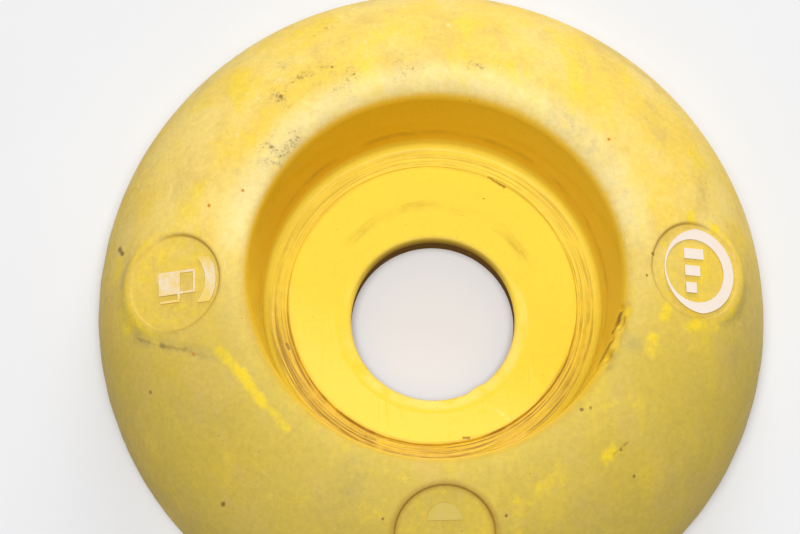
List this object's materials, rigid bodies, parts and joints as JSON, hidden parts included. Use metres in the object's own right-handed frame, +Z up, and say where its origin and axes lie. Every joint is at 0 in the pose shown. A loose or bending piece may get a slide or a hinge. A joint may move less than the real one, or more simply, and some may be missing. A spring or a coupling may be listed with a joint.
{
  "type": "valve selector bezel",
  "caption": "Yellow moulded selector bezel: domed round flange, deep cup for a knob, a neck hole in its floor and round legend pads with white printed marks.",
  "frame": {"origin": "centre of the round flange, on the plane that the flange's rim and the neck collar stand on", "axes": "+Z up along the flange's axis, out of the cup; +X towards the reserve pad; the off pad lies on -Y"},
  "size_m": [0.11, 0.11, 0.0234],
  "materials": {
    "moulding": "matte, worn and dirty outside, satin inside the cup",
    "ink": "matte printed ink",
    "worn_ink": "thin worn ink"
  },
  "bodies": {
    "root": {"bezel_body": "moulding", "reserve_ring_print": "ink", "reserve_mark_print": "ink", "fuel_ring_print": "worn_ink", "fuel_pump_print": "worn_ink", "off_mark_print": "worn_ink"}
  },
  "joints": []
}
